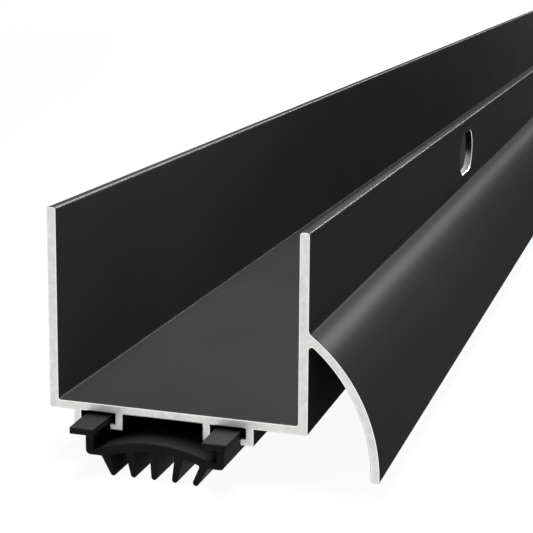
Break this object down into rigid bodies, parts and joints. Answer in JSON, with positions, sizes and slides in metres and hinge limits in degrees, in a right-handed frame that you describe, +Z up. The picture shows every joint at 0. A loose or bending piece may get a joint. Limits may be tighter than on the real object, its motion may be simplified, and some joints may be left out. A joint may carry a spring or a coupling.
{
  "type": "u-shaped door bottom sweep",
  "caption": "U-shaped extruded door bottom sweep with a curved drip edge, slotted screw holes and a finned rubber seal that slides in two T slots.",
  "frame": {"origin": "middle of the channel's floor, where the door's bottom edge is seated", "axes": "+Z up into the door, +Y along the door's bottom edge away from the end that the picture shows, +X across the door towards the drip edge"},
  "size_m": [0.0622, 0.9219, 0.0475],
  "materials": {
    "anodised_channel": "black anodised, with bare saw-cut ends",
    "seal_rubber": "matt black extruded rubber"
  },
  "bodies": {
    "channel": {"channel_extrusion": "anodised_channel"},
    "seal": {"finned_seal": "seal_rubber"}
  },
  "joints": [
    {"name": "seal_slide", "type": "slide", "parent": "channel", "child": "seal", "axis": [0, -1, 0], "range_m": [-0.0075, 0.9]}
  ]
}
